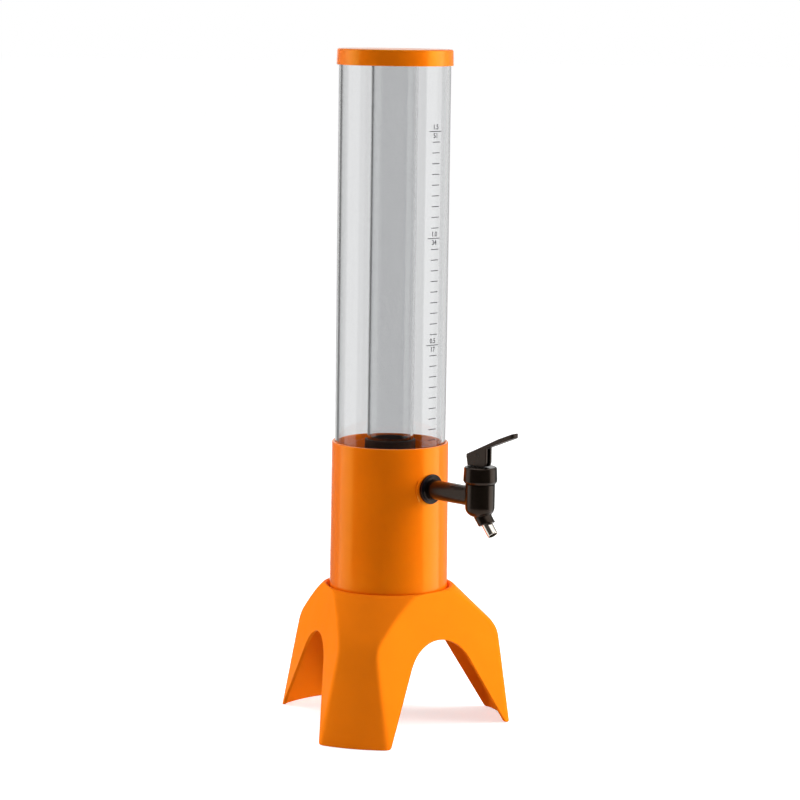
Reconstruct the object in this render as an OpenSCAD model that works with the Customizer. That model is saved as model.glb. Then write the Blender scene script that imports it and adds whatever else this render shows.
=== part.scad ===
// Table-top drink tower: a clear tank tube with an ice tube inside, standing
// in a moulded cup with a lever tap, on a three-legged moulded stand.
// Millimetres. The origin is on the table under the tank's axis, +Z is up
// and the tap points to -Y. One leg points to +Y, the others lie 60 degrees
// to each side of the tap.

/* [Tank tube] */
// Outer diameter of the clear tank tube
tube_od = 100; // [96:0.5:104]
// Wall of the clear tank tube
tube_wall = 3; // [2.5:0.25:4]
// Length of the clear tank tube
tube_len = 366; // [260:2:460]

/* [Lid] */
// Thickness of the lid's top plate
lid_plate = 2.6; // [2:0.2:4]
// Depth of the lid's skirt below its top plate
lid_skirt = 11.8; // [8:0.2:20]
// Wall of the lid's skirt
lid_wall = 1.7; // [1.4:0.1:3]
// Radius that rounds the lid's top edge
lid_edge_r = 1.4; // [0.6:0.1:2]
// Depth of the ring under the lid that holds the ice tube
lid_socket_depth = 9.6; // [7:0.2:10]
// Wall of the ring under the lid
lid_socket_wall = 2.4; // [2:0.1:4]

/* [Ice tube] */
// Outer diameter of the ice tube
ice_od = 42; // [36:0.5:46]
// Wall of the ice tube
ice_wall = 2; // [1.5:0.25:3]
// Length of the ice tube
ice_len = 365; // [250:1:366]
// Height of the stopper cap under the ice tube
ice_cap_h = 21.5; // [16:0.5:30]
// Wall of the stopper cap
ice_cap_wall = 1.8; // [1.5:0.1:3]
// Floor of the stopper cap
ice_cap_floor = 3; // [2:0.5:5]

/* [Cup] */
// Height of the cup's rim above the tap's shank
cup_rise = 37.5; // [36:0.5:60]
// Wall of the cup below the tube's ledge
cup_wall = 3; // [2.5:0.1:4]
// Wall of the cup's rim round the tube
rim_wall = 2.5; // [2:0.1:3.5]
// Outward draft of the cup towards its lower edge, in degrees
cup_draft = 0.36; // [0:0.02:0.6]
// Depth of the socket that takes the tank tube
socket_depth = 18; // [14:0.5:22]
// Height of the ledge under the tube's gasket
ledge_h = 5; // [4:0.5:7]
// Depth of the cup's floor below the tap's shank
floor_drop = 21.5; // [19:0.5:24]
// Thickness of the cup's floor
floor_t = 3; // [2.5:0.5:5]

/* [Stand] */
// Height of the stand's rim
stand_h = 127.5; // [120:0.5:140]
// Radius of the stand at the table
foot_r = 112.7; // [108:0.5:120]
// Inward slope of the legs' outer faces
flank_slope = 0.135; // [0.12:0.005:0.15]
// Radius of the stand's rim crest
crest_r = 59.4; // [58.5:0.1:61]
// Outward slope of the shoulder per unit of height
shoulder_slope = 1.03; // [0.95:0.01:1.1]
// Radius of the knee between shoulder and leg
knee_r = 28; // [20:1:34]
// Distance of each side face from the axis at the table
side_d = 81.3; // [79:0.1:84]
// Inward slope of the side faces
side_slope = 0.192; // [0.18:0.002:0.2]
// Wall of the stand
stand_wall = 3; // [2.5:0.1:3.5]
// Depth of the recess that takes the cup
recess_depth = 14.5; // [12:0.5:18]
// Thickness of the plate under the cup
plate_t = 3; // [2.5:0.5:5]
// Radius of the opening in the plate
plate_hole_r = 32; // [26:1:34]
// Radius of the arch's top between two legs
arch_r = 43; // [40:0.5:45]
// Height of the arch's top above the table
arch_h = 85; // [80:0.5:88]
// Lean of the arch's flanks from the vertical, in degrees
arch_lean = 30; // [28:0.5:31]
// Radius that rounds the corners of the feet
foot_corner_r = 4; // [2:0.5:5]
// Thickness of the rib under each shoulder
rib_t = 2.4; // [2:0.2:4]

/* [Base screws] */
// Radius of the circle of base screws
screw_circle_r = 43; // [42:0.5:44]
// Shank diameter of a base screw
screw_d = 3.9; // [3.5:0.1:4.2]
// Head diameter of a base screw
screw_head_d = 7.8; // [7:0.2:8.6]
// Head height of a base screw
screw_head_h = 2.8; // [2:0.2:3.4]
// Length of a base screw under its head
screw_len = 17; // [14:1:20]

/* [Tap] */
// Height of the tap's shank above the cup's lower edge
tap_h = 108.5; // [96:0.5:130]
// Distance from the cup's face to the tap's upright axis
tap_reach = 60.5; // [54:0.5:70]
// Diameter of the shank outside the cup
shank_d = 17.5; // [16.8:0.1:19]
// Diameter of the shank's end inside the cup
shank_end_d = 16.4; // [15:0.2:16.6]
// Bore through the shank
shank_bore = 10; // [8:0.5:11]
// Diameter of the tap's body
body_d = 26.2; // [25.6:0.1:28]
// Bore of the tap's chamber
chamber_d = 19.2; // [18:0.2:20]
// Height of the tap's body below the shank's axis
body_drop = 17.5; // [16:0.5:20]
// Height of the tap's shoulder above the shank's axis
body_rise = 12.5; // [11:0.5:14]
// Radius that rounds the lower end of the tap's body
body_round = 5; // [3:0.5:5]
// Diameter of the neck inside the bonnet
neck_d = 24; // [23.4:0.2:24.6]
// Height of the neck above the shoulder
neck_h = 10.8; // [9:0.2:13]
// Valve seat below the shank's axis
seat_drop = 9.5; // [8:0.5:10.5]
// Bore of the valve seat
seat_bore = 8; // [6:0.5:8.5]
// Lean of the spout from the vertical, in degrees
spout_lean = 40; // [34:1:44]
// Diameter of the spout
spout_d = 14.8; // [13.8:0.2:16]
// Length of the spout along its axis
spout_len = 16.3; // [15.5:0.1:19]
// Start of the spout's axis below the shank's axis
spout_drop = 11.7; // [11:0.1:13]
// Bore of the spout
spout_bore = 7; // [5.6:0.2:7.2]

/* [Tap fittings] */
// Diameter of the dished washer outside the cup
dish_d = 27; // [25:0.2:30]
// Height of the dished washer's rim over the cup's face
dish_rim = 1.8; // [1.2:0.1:3]
// Diameter of the flat pad inside the cup
pad_d = 34; // [31:0.5:36]
// Distance of the flat pad's face from the tank's axis
pad_face = 46; // [45:0.1:46.4]
// Diameter of the gasket inside the cup
gasket_d = 27; // [25:0.5:29]
// Thickness of the gasket inside the cup
gasket_t = 2; // [1.5:0.1:3]
// Width across the flats of the lock nut
nut_flats = 24; // [22:0.5:25]
// Thickness of the lock nut
nut_t = 7; // [5:0.5:9]
// Length of shank that shows past the lock nut
shank_show = 3; // [1:0.5:5]

/* [Bonnet] */
// Diameter of the bonnet at its lower edge
bonnet_d = 30.1; // [29.4:0.1:32]
// Diameter of the bonnet at its top
bonnet_top_d = 29; // [28.6:0.1:30]
// Height of the bonnet
bonnet_h = 14.6; // [13.5:0.1:16]
// Thickness of the bonnet's top
bonnet_top_t = 3; // [2.8:0.1:3.4]
// Radius that rounds the bonnet's top edge
bonnet_round = 1.6; // [0.8:0.1:2.2]
// Height of the slanted lip under the bonnet
bonnet_lip = 2; // [1:0.1:3]
// Thickness of the gasket under the bonnet
bonnet_gasket_t = 1.5; // [1:0.1:2]

/* [Valve] */
// Diameter of the valve stem
stem_d = 6; // [5:0.1:6.4]
// Diameter of the flange that carries the spring
flange_d = 13; // [12.4:0.1:14]
// Thickness of the flange that carries the spring
flange_t = 1.5; // [1:0.1:2.5]
// Height of the rubber seal under the flange
seal_h = 5.5; // [4:0.5:7]
// Diameter of the rubber seal
seal_d = 12; // [11:0.2:13]
// Diameter of the spigot that holds the rubber seal
spigot_d = 3.6; // [3:0.1:4]
// Wire of the return spring
wire_d = 1; // [0.8:0.05:1.2]
// Mean diameter of the return spring
spring_d = 9.8; // [9:0.1:10.4]
// Curls of the return spring
spring_curls = 7; // [5:1:9]
// Section of the ring that seals the stem
stem_ring_d = 1.3; // [1:0.1:1.5]

/* [Lever] */
// Width of the lever's hub
hub_w = 7.7; // [7:0.1:9]
// Slot in the hub for the stem's tongue
hub_slot = 3.5; // [3:0.1:4]
// Height of the pin above the bonnet
pin_rise = 10.6; // [10:0.1:12]
// Diameter of the lever's pin
pin_d = 2; // [1.6:0.1:2.2]
// Radius of the tongue's round top
tongue_r = 2.2; // [2:0.1:2.3]
// Lift of the stem per radian of lever tilt
lift_rate = 3.67; // [3:0.05:4]
// Tilt of the lever when the tap is fully open, in degrees
lever_open = 25; // [15:1:26]
// Reach of the hub behind the pin
hub_back = 14; // [12:0.5:16]
// Reach of the hub in front of the pin
hub_front = 9.8; // [9.2:0.1:10.5]
// Thickness of the lever's bar
bar_t = 3; // [2.6:0.1:3.4]
// Slope of the lever's bar from its back edge to the bend, in degrees
bar_angle = 24.4; // [22:0.2:27]
// Thickness of the paddle past the bend
paddle_t = 3.9; // [3:0.1:4.4]
// Slope of the paddle past the bend, in degrees
paddle_angle = 19.6; // [12:0.2:24]
// Reach of the lever from the pin to the bend
bend_reach = 24.5; // [22:0.5:30]
// Reach of the lever from the pin to its tip
tip_reach = 48.5; // [44:0.5:58]
// Width of the paddle
paddle_w = 8.4; // [8:0.2:14]
// Radius that rounds the paddle's corners
paddle_corner = 2.8; // [1:0.2:4]

/* [Nozzle tip] */
// Outer diameter of the nozzle's tip
tip_d = 9.5; // [9:0.1:10.5]
// Wall of the nozzle's tip
tip_wall = 0.8; // [0.6:0.1:1.2]
// Length of the nozzle's tip that shows
tip_show = 9.4; // [7:0.2:14]
// Outer diameter of the nozzle's tip inside the spout
tip_seat_d = 9; // [8.4:0.1:9]
// Length of the nozzle's tip inside the spout
tip_seat = 7; // [5:0.2:8]

/* [Clearances] */
// Gap between pieces that come apart by hand
lift_gap = 0.35; // [0.25:0.05:0.5]
// Gap between fixed pieces round one another
fixed_gap = 0.25; // [0.15:0.05:0.4]
// Gap under a piece that rests on another
rest_gap = 0.3; // [0.2:0.05:0.4]
// Gap round a pin or a sliding stem
run_gap = 0.05; // [0.03:0.01:0.08]
// Gap between an O-ring and the piece that slides in it
ring_gap = 0.15; // [0.1:0.05:0.25]

/* [Hidden] */
$fn = 96;
eps = 0.01;
cut = 1;
legs = 3;
leg_angles = [for (i = [0:legs - 1]) 180 + i * 360 / legs];
side_angles = [for (i = [0:legs - 1]) i * 360 / legs];
arc_steps = 8;
arch_steps = 28;

// Heights, from the table up
plate_top = stand_h - recess_depth;
tap_z = plate_top + tap_h;
cup_rim = tap_z + cup_rise;
ledge_top = cup_rim - socket_depth;
tank_floor = tap_z - floor_drop;
tube_gasket_t = 2;
tube_bottom = ledge_top + tube_gasket_t;
tube_top = tube_bottom + tube_len;
lid_under = tube_top + rest_gap;
lid_top = lid_under + lid_plate;
lid_edge = lid_under - lid_skirt;

// Radii round the tank's axis
tube_r = tube_od / 2;
tube_in = tube_r - tube_wall;
socket_r = tube_r + fixed_gap;
rim_r = socket_r + rim_wall;
lid_in = tube_r + lift_gap;
lid_r = lid_in + lid_wall;
ice_r = ice_od / 2;
function cup_r(z) = rim_r + (cup_rim - z) * tan(cup_draft);
cup_low_r = cup_r(plate_top);
recess_r = cup_low_r + lift_gap;
recess_wall = 3.2;
recess_ring_r = recess_r + recess_wall;
rim_land = 2.4;
rim_chamfer = 2.6;

// Ice tube, hung in the lid's ring
ice_top = lid_under - rest_gap;
ice_bottom = ice_top - ice_len;
ice_gasket_t = 1;
ice_cap_bottom = ice_bottom - ice_gasket_t - ice_cap_floor;
ice_bore = ice_r + ring_gap;
ice_cap_r = ice_bore + ice_cap_wall;
grip_ring_d = 1.4;
grip_ring_z = lid_under - lid_socket_depth / 2;
grip_mean_r = ice_r + ring_gap + grip_ring_d / 2;
groove_slack = 0.1;

// Tap, in a frame with its origin on the shank's axis at the tap's upright
// axis: x across, f forward (away from the cup), z up
face_r = cup_r(tap_z);
tap_r = face_r + tap_reach;
shank_end = pad_face - gasket_t - nut_t - shank_show;
hole_r = shank_end_d / 2 + fixed_gap;
thread_gap = 0.1;
shoulder_z = body_rise;
neck_top = shoulder_z + neck_h;
bonnet_in_top = neck_top + bonnet_gasket_t;
bonnet_top = bonnet_in_top + bonnet_top_t;
bonnet_low = bonnet_top - bonnet_h;
seat_z = -seat_drop;
seal_rest = 0.05;
seal_low = seat_z + seal_rest;
flange_low = seal_low + seal_h;
flange_top = flange_low + flange_t;
pin_z = bonnet_top + pin_rise;
stem_bore_r = stem_d / 2 + rest_gap;
cam_h = pin_rise - rest_gap;
full_lift = lift_rate * lever_open * PI / 180;
stem_top = bonnet_top - full_lift;
tip_r = tip_d / 2;
nozzle_start = spout_len - tip_seat;
nozzle_end = spout_len + tip_show;

// Lever, from the pin's axis: f forward, z up
bar_back_z = -0.4;
bend_z = bar_back_z + (hub_back + bend_reach) * tan(bar_angle);
tip_z = bend_z + (tip_reach - bend_reach) * tan(paddle_angle);
bar_drop = bar_t / cos(bar_angle);
slot_back = 2.6;
slot_front = hub_front + 1;

// Points of an arc about (cx, cy), from angle a0 to a1
function arc(cx, cy, r, a0, a1, steps) =
    [for (i = [0:steps]) let (a = a0 + (a1 - a0) * i / steps)
        [cx + r * cos(a), cy + r * sin(a)]];

// A tube between two heights
module ring(r_out, r_in, z0, z1) {
    translate([0, 0, z0])
        difference() {
            cylinder(r = r_out, h = z1 - z0);
            translate([0, 0, -cut]) cylinder(r = r_in, h = z1 - z0 + 2 * cut);
        }
}

// A rubber ring of round section
module o_ring(mean_r, section_d, z) {
    translate([0, 0, z])
        rotate_extrude() translate([mean_r, 0]) circle(d = section_d, $fn = 24);
}

// ---------- stand ----------

// Flank and shoulder lines of the stand's outline, moved inwards by t
flank_lean = atan(flank_slope);
shoulder_lean = atan(shoulder_slope);
function flank_at(z, t) = foot_r - t / cos(flank_lean) - flank_slope * z;
function shoulder_at(z, t) =
    crest_r - t / cos(shoulder_lean) + shoulder_slope * (stand_h - z);
function knee_z(t) =
    (shoulder_at(0, t) - flank_at(0, t)) / (shoulder_slope - flank_slope);

// Centre of the knee's round, inside both lines moved in by its radius
knee_cz = knee_z(knee_r);
knee_cr = flank_at(knee_cz, knee_r);

// Upright outline of the stand from the axis outwards, moved inwards by t
function stand_outline(t, z_low, z_top) = concat(
    [[0, z_low], [flank_at(z_low, t), z_low]],
    arc(knee_cr, knee_cz, knee_r - t, flank_lean, shoulder_lean, arc_steps),
    [[shoulder_at(z_top, t), z_top], [0, z_top]]
);

// The turned shape cut by the three leaning side faces, moved inwards by t
module stand_form(t, z_low, z_top) {
    block = 2 * foot_r;
    intersection() {
        rotate_extrude() polygon(stand_outline(t, z_low, z_top));
        for_all_sides() side_space(t, block);
    }
}

// Everything behind one leaning side face, moved inwards by t
module side_space(t, block) {
    translate([0, -side_d, 0])
        rotate([-atan(side_slope), 0, 0])
            translate([-block, t, -block / 2]) cube([2 * block, 3 * block, 2 * block]);
}

// Common part of a child turned to each of the three sides
module for_all_sides() {
    intersection() {
        rotate([0, 0, side_angles[0]]) children();
        rotate([0, 0, side_angles[1]]) children();
        rotate([0, 0, side_angles[2]]) children();
    }
}

// Outline of the arch between two legs: a round top on leaning flanks,
// which turn outwards at the bottom to round the corners of the feet
module arch_outline() {
    cz = arch_h - arch_r;
    tangent_x = arch_r * cos(arch_lean);
    tangent_z = cz + arch_r * sin(arch_lean);
    r = foot_corner_r;
    corner_x = tangent_x + (r - (r - tangent_z) * sin(arch_lean)) / cos(arch_lean);
    polygon(concat(
        [[-corner_x, -cut], [corner_x, -cut]],
        arc(corner_x, r, r, 270, 180 + arch_lean, 5),
        arc(0, cz, arch_r, arch_lean, 180 - arch_lean, arch_steps),
        arc(-corner_x, r, r, 360 - arch_lean, 270, 5)
    ));
}

// Cutter for the arch in one side face
module arch_cut() {
    depth = side_d - plate_hole_r;
    translate([0, -plate_hole_r, 0])
        rotate([90, 0, 0]) linear_extrude(depth + cut) arch_outline();
}

module stand() {
    color("darkorange")
        difference() {
            stand_form(0, 0, stand_h);
            difference() {
                stand_form(stand_wall, -cut, stand_h - stand_wall - cut);
                stand_plate();
                stand_ribs();
            }
            stand_recess();
            for (a = side_angles) rotate([0, 0, a]) arch_cut();
            for (a = leg_angles) rotate([0, 0, a]) screw_hole();
        }
}

// Plate under the cup and the ring round the cup's lower end
module stand_plate() {
    translate([0, 0, plate_top - plate_t])
        cylinder(r = recess_ring_r + stand_wall, h = plate_t);
    translate([0, 0, plate_top - plate_t])
        cylinder(r = recess_ring_r, h = stand_h);
}

// A rib from the ring to the knee of each leg
module stand_ribs() {
    rib_low = plate_top - 5 * plate_t;
    for (a = leg_angles)
        rotate([0, 0, a])
            translate([-rib_t / 2, -foot_r, rib_low])
                cube([rib_t, foot_r - recess_r, stand_h]);
}

// Recess for the cup, its lead-in chamfer and the opening in the plate
module stand_recess() {
    rotate_extrude()
        polygon([
            [0, plate_top], [recess_r, plate_top], [recess_r, stand_h - rim_chamfer],
            [recess_r + rim_land, stand_h], [recess_r + rim_land, stand_h + cut],
            [0, stand_h + cut]
        ]);
    translate([0, 0, plate_top - plate_t - cut])
        cylinder(r = plate_hole_r, h = plate_t + 2 * cut);
}

module screw_hole() {
    translate([0, -screw_circle_r, plate_top - plate_t - cut])
        cylinder(d = screw_d + 2 * fixed_gap, h = plate_t + 2 * cut);
}

module base_screws() {
    color("silver")
        for (a = leg_angles)
            rotate([0, 0, a])
                translate([0, -screw_circle_r, plate_top - plate_t - screw_head_h])
                    base_screw();
}

module base_screw() {
    cylinder(d = screw_head_d, h = screw_head_h);
    cylinder(d = screw_d, h = screw_head_h + screw_len);
}

// ---------- cup ----------

boss_r = screw_d / 2 + 2.6;
boss_h = screw_len - plate_t + 8;
web_t = 2.4;

module column_cup() {
    color("darkorange")
        difference() {
            union() {
                cup_shell();
                for (a = leg_angles) rotate([0, 0, a]) cup_boss();
                tap_pad();
            }
            for (a = leg_angles)
                rotate([0, 0, a]) translate([0, -screw_circle_r, plate_top - cut])
                    cylinder(d = screw_d + 2 * thread_gap, h = screw_len - plate_t + 2 + cut);
            along_shank(pad_face - cut) cylinder(r = hole_r, h = face_r - pad_face + 2 * cut);
        }
}

// Turned wall with the floor, the gasket's ledge and the tube's socket
module cup_shell() {
    tank_r = rim_r - cup_wall;
    ledge_low = ledge_top - ledge_h;
    lip = 0.8;
    rotate_extrude()
        polygon(concat(
            [
                [0, tank_floor - floor_t], [tank_r, tank_floor - floor_t],
                [tank_r, plate_top], [cup_low_r, plate_top]
            ],
            arc(rim_r - lip, cup_rim - lip, lip, 0, 90, 4),
            [
                [socket_r, cup_rim], [socket_r, ledge_top],
                [tube_in, ledge_top], [tube_in, ledge_low],
                [tank_r, ledge_low - (tank_r - tube_in)], [tank_r, tank_floor],
                [0, tank_floor]
            ]
        ));
}

// Screw boss under the cup's floor, tied to the wall by a web
module cup_boss() {
    translate([0, -screw_circle_r, plate_top]) cylinder(r = boss_r, h = boss_h);
    translate([-web_t / 2, -cup_low_r + cup_wall / 2, plate_top])
        cube([web_t, cup_low_r - cup_wall / 2 - screw_circle_r, boss_h]);
}

// Flat pad inside the wall for the shank's gasket
module tap_pad() {
    intersection() {
        along_shank(pad_face) cylinder(d = pad_d, h = face_r);
        translate([0, 0, tank_floor]) cylinder(r = rim_r - cup_wall / 2, h = cup_rim - tank_floor);
    }
}

// Turns a child's +Z outwards along the shank and starts it at a radius
module along_shank(start_r) {
    translate([0, -start_r, tap_z]) rotate([90, 0, 0]) children();
}

module tube_gasket() {
    color("dimgray") ring(tube_r, tube_in + fixed_gap, ledge_top, tube_bottom);
}

module tank_tube() {
    color([0.8, 0.85, 0.88, 0.35]) ring(tube_r, tube_in, tube_bottom, tube_top);
}

// ---------- lid and ice tube ----------

module lid() {
    socket_in = ice_r + lift_gap;
    socket_out = grip_mean_r + grip_ring_d / 2 + groove_slack + lid_socket_wall;
    groove_h = grip_ring_d + 2 * groove_slack;
    color("darkorange")
        difference() {
            union() {
                rotate_extrude()
                    polygon(concat(
                        [[0, lid_under], [lid_in, lid_under], [lid_in, lid_edge], [lid_r, lid_edge]],
                        arc(lid_r - lid_edge_r, lid_top - lid_edge_r, lid_edge_r, 0, 90, 6),
                        [[0, lid_top]]
                    ));
                ring(socket_out, socket_in, lid_under - lid_socket_depth, lid_under + eps);
            }
            ring(
                grip_mean_r + grip_ring_d / 2 + groove_slack, socket_in - cut,
                grip_ring_z - groove_h / 2, grip_ring_z + groove_h / 2
            );
        }
}

module ice_tube_grip_ring() {
    color("black") o_ring(grip_mean_r, grip_ring_d, grip_ring_z);
}

module ice_tube() {
    color([0.85, 0.88, 0.9, 0.35]) ring(ice_r, ice_r - ice_wall, ice_bottom, ice_top);
}

module ice_tube_gasket() {
    color("dimgray") ring(ice_r, ice_r - ice_wall, ice_bottom - ice_gasket_t, ice_bottom);
}

// Cap that closes the ice tube, with a bead round its rim
module ice_tube_stopper() {
    bead = 0.6;
    cap_top = ice_cap_bottom + ice_cap_h;
    color([0.1, 0.1, 0.1])
        rotate_extrude()
            polygon([
                [0, ice_cap_bottom], [ice_cap_r - bead, ice_cap_bottom],
                [ice_cap_r, ice_cap_bottom + bead], [ice_cap_r, cap_top - bead],
                [ice_cap_r - bead, cap_top], [ice_bore, cap_top],
                [ice_bore, ice_cap_bottom + ice_cap_floor],
                [0, ice_cap_bottom + ice_cap_floor]
            ]);
}

// ---------- tap ----------

// Moves a child from the tap's own frame to its place on the cup
module at_tap() {
    translate([0, -tap_r, tap_z]) children();
}

// Moves a child from the spout's frame, with +Z along the flow
module at_spout() {
    translate([0, 0, -spout_drop]) rotate([180 - spout_lean, 0, 0]) children();
}

module tap_body() {
    color([0.12, 0.1, 0.09])
        at_tap()
            difference() {
                union() {
                    tap_barrel();
                    tap_shank();
                    at_spout() cylinder(d = spout_d, h = spout_len);
                }
                tap_passages();
            }
}

// Turned barrel with a round lower end and the neck for the bonnet
module tap_barrel() {
    body_r = body_d / 2;
    rotate_extrude()
        polygon(concat(
            [[0, -body_drop]],
            arc(body_r - body_round, -body_drop + body_round, body_round, -90, 0, arc_steps),
            [
                [body_r, shoulder_z], [neck_d / 2, shoulder_z],
                [neck_d / 2, neck_top], [0, neck_top]
            ]
        ));
}

// Shank through the cup's wall, thinner where the lock nut runs
module tap_shank() {
    outside_y = tap_r - face_r;
    rotate([-90, 0, 0]) cylinder(d = shank_d, h = outside_y - eps);
    rotate([-90, 0, 0]) cylinder(d = shank_end_d, h = tap_r - shank_end);
}

// Flow path: shank, chamber, seat, spout and the nozzle tip's counterbore
module tap_passages() {
    translate([0, 0, seat_z]) cylinder(d = chamber_d, h = neck_top - seat_z + cut);
    rotate([-90, 0, 0]) cylinder(d = shank_bore, h = tap_r - shank_end + cut);
    translate([0, 0, -spout_drop]) cylinder(d = seat_bore, h = spout_drop - seat_drop + cut);
    translate([0, 0, -spout_drop]) sphere(d = seat_bore);
    at_spout() cylinder(d = spout_bore, h = spout_len + cut);
    at_spout() translate([0, 0, nozzle_start])
        cylinder(r = tip_seat_d / 2 + run_gap, h = tip_seat + cut);
}

// Dished rubber washer, its back shaped to the cup's round face
module dished_washer() {
    inner_r = shank_d / 2 + thread_gap;
    dish_r = dish_d / 2;
    back = 3;
    color([0.08, 0.08, 0.09])
        difference() {
            along_shank(face_r - back)
                rotate_extrude()
                    polygon([
                        [inner_r, 0], [dish_r, 0], [dish_r, back + dish_rim - 0.3],
                        [dish_r - 0.3, back + dish_rim], [dish_r - 0.9, back + dish_rim],
                        [inner_r + 1.6, back + dish_rim / 2],
                        [inner_r + 0.6, back + dish_rim], [inner_r, back + dish_rim]
                    ]);
            translate([0, 0, plate_top])
                cylinder(r1 = cup_low_r + run_gap, r2 = rim_r + run_gap, h = cup_rim - plate_top);
        }
}

module shank_gasket() {
    color("dimgray")
        along_shank(pad_face)
            translate([0, 0, -gasket_t]) ring(gasket_d / 2, shank_end_d / 2 + thread_gap, 0, gasket_t);
}

module lock_nut() {
    color([0.12, 0.1, 0.09])
        along_shank(pad_face - gasket_t)
            translate([0, 0, -nut_t])
                difference() {
                    cylinder(d = nut_flats / cos(30), h = nut_t, $fn = 6);
                    translate([0, 0, -cut])
                        cylinder(r = shank_end_d / 2 + thread_gap, h = nut_t + 2 * cut);
                }
}

// Screw cap over the chamber, with a slanted lip under it
module tap_bonnet() {
    low_r = bonnet_d / 2;
    top_r = bonnet_top_d / 2;
    bore_r = neck_d / 2 + fixed_gap;
    lip_in = 1.4;
    color([0.12, 0.1, 0.09])
        at_tap()
            difference() {
                rotate_extrude()
                    polygon(concat(
                        [
                            [bore_r, bonnet_low], [low_r - lip_in, bonnet_low],
                            [low_r, bonnet_low + bonnet_lip]
                        ],
                        arc(top_r - bonnet_round, bonnet_top - bonnet_round, bonnet_round, 0, 90, 6),
                        [
                            [stem_bore_r, bonnet_top], [stem_bore_r, bonnet_in_top],
                            [bore_r, bonnet_in_top]
                        ]
                    ));
                stem_ring_groove();
            }
}

stem_ring_z = bonnet_in_top + bonnet_top_t / 2;
stem_ring_mean = stem_d / 2 + ring_gap + stem_ring_d / 2;

module stem_ring_groove() {
    groove_h = stem_ring_d + 2 * groove_slack;
    ring(
        stem_ring_mean + stem_ring_d / 2 + groove_slack, stem_bore_r - cut,
        stem_ring_z - groove_h / 2, stem_ring_z + groove_h / 2
    );
}

module bonnet_gasket() {
    color("dimgray") at_tap() ring(neck_d / 2, chamber_d / 2, neck_top, bonnet_in_top);
}

module stem_ring() {
    color("black") at_tap() o_ring(stem_ring_mean, stem_ring_d, stem_ring_z);
}

// ---------- valve ----------

// Stem with the spring's flange, the seal's spigot and the pin's tongue
module valve_stem() {
    tongue_t = hub_slot - 2 * rest_gap;
    color("dimgray")
        at_tap()
            difference() {
                union() {
                    translate([0, 0, flange_low + eps]) cylinder(d = stem_d, h = stem_top - flange_low - eps);
                    translate([0, 0, flange_low]) cylinder(d = flange_d, h = flange_t);
                    translate([0, 0, seal_low + 1]) cylinder(d = spigot_d, h = seal_h);
                    translate([-tongue_t / 2, -tongue_r, stem_top - cut])
                        cube([tongue_t, 2 * tongue_r, pin_z - stem_top + cut]);
                    translate([-tongue_t / 2, 0, pin_z])
                        rotate([0, 90, 0]) cylinder(r = tongue_r, h = tongue_t);
                }
                translate([-hub_w, 0, pin_z])
                    rotate([0, 90, 0]) cylinder(d = pin_d + 2 * run_gap, h = 2 * hub_w);
            }
}

// Rubber plug that closes the seat
module valve_seal() {
    nose = 1.5;
    color([0.15, 0.15, 0.15])
        at_tap()
            difference() {
                rotate_extrude()
                    polygon([
                        [0, seal_low], [seal_d / 2 - nose / 2, seal_low],
                        [seal_d / 2, seal_low + nose], [seal_d / 2, flange_low - 1],
                        [seal_d / 2 - 1, flange_low], [0, flange_low]
                    ]);
                translate([0, 0, seal_low + 1]) cylinder(d = spigot_d + 2 * run_gap, h = seal_h);
            }
}

// Spring between the stem's flange and the bonnet, one wire in a helix
ring_steps = 8;
wire_sides = 6;
spring_low = flange_top + wire_d / 2 + run_gap;
spring_high = bonnet_in_top - wire_d / 2 - run_gap;
spring_pitch = (spring_high - spring_low) / spring_curls;
function coil_at(turn) = [
    spring_d / 2 * cos(360 * turn),
    spring_d / 2 * sin(360 * turn),
    spring_low + spring_pitch * turn
];

// Corners of the wire's section at one place on the helix
function wire_section(turn) = let (c = coil_at(turn), a = 360 * turn)
    [for (k = [0:wire_sides - 1]) let (b = 360 * k / wire_sides)
        c + wire_d / 2 * [cos(b) * cos(a), cos(b) * sin(a), sin(b)]];

module return_spring() {
    count = spring_curls * ring_steps;
    points = [for (i = [0:count]) each wire_section(i / ring_steps)];
    last = count * wire_sides;
    sides = [for (i = [0:count - 1], k = [0:wire_sides - 1])
        let (a = i * wire_sides + k, b = i * wire_sides + (k + 1) % wire_sides)
            each [[a, b, b + wire_sides], [a, b + wire_sides, a + wire_sides]]];
    start = [for (k = [1:wire_sides - 2]) [0, k + 1, k]];
    end = [for (k = [1:wire_sides - 2]) [last, last + k, last + k + 1]];
    color("silver") at_tap() polyhedron(points, concat(sides, start, end));
}

// Least gap of the helix to itself, one turn apart
spring_gap = spring_pitch * cos(atan(spring_pitch / (PI * spring_d))) - wire_d;
echo(spring_gap = spring_gap);

// ---------- lever ----------

// Cam under the hub: while the lever tilts by a, its lowest point stays
// at cam_h plus the stem's lift below the pin
function cam_point(a) = let (h = cam_h + lift_rate * a * PI / 180)
    [h * sin(a) + lift_rate * cos(a), -h * cos(a) + lift_rate * sin(a)];

module tap_lever() {
    color([0.12, 0.1, 0.09])
        at_tap() translate([0, 0, pin_z])
            difference() {
                union() {
                    lever_hub();
                    lever_bar();
                }
                lever_slot();
                translate([-hub_w, 0, 0])
                    rotate([0, 90, 0]) cylinder(d = pin_d + 2 * run_gap, h = 2 * hub_w);
            }
}

// Extrudes an outline drawn as (forward, up) across the lever
module across_lever(width) {
    translate([-width / 2, 0, 0])
        rotate([90, 0, 90]) mirror([1, 0, 0]) linear_extrude(width) children();
}

// Height of the bar's upper face over the hub, f in front of the pin
function bar_top_at(f) = bar_back_z + (f + hub_back) * tan(bar_angle);

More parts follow.
